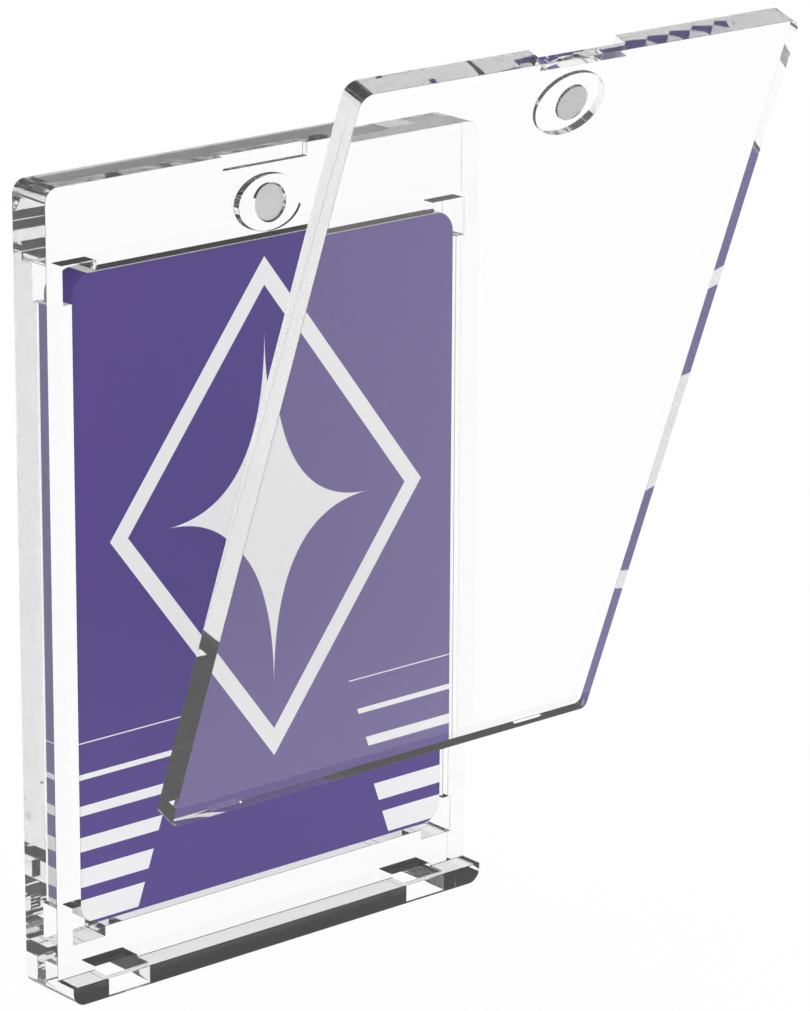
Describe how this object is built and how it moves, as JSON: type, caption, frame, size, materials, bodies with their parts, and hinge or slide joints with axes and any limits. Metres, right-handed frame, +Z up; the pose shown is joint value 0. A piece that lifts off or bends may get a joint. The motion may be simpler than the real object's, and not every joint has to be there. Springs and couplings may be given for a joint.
{
  "type": "trading card display case",
  "caption": "Clear display case for a thick trading card: rear shell with card recess and slotted foot, and a magnet-held lid shown tilted off it.",
  "frame": {"origin": "middle of the foot's underside", "axes": "+Z up the height of the case, +X across it, +Y towards its rear face; the lid is on the -Y side"},
  "size_m": [0.073, 0.0704, 0.1366],
  "materials": {
    "clear_plastic": "polished and clear",
    "magnet_plating": "satin plating",
    "printed_board": "satin print"
  },
  "bodies": {
    "base": {"base_shell": "clear_plastic", "base_magnet": "magnet_plating", "insert_card": "printed_board"},
    "lid": {"front_lid": "clear_plastic", "lid_magnet": "magnet_plating"}
  },
  "joints": [
    {"name": "lid_swing", "type": "hinge", "parent": "base", "child": "lid", "pos_m": [0, -0.09925, -0.04355], "axis": [1, 0, 0], "range_deg": [-20.17, 0]}
  ]
}
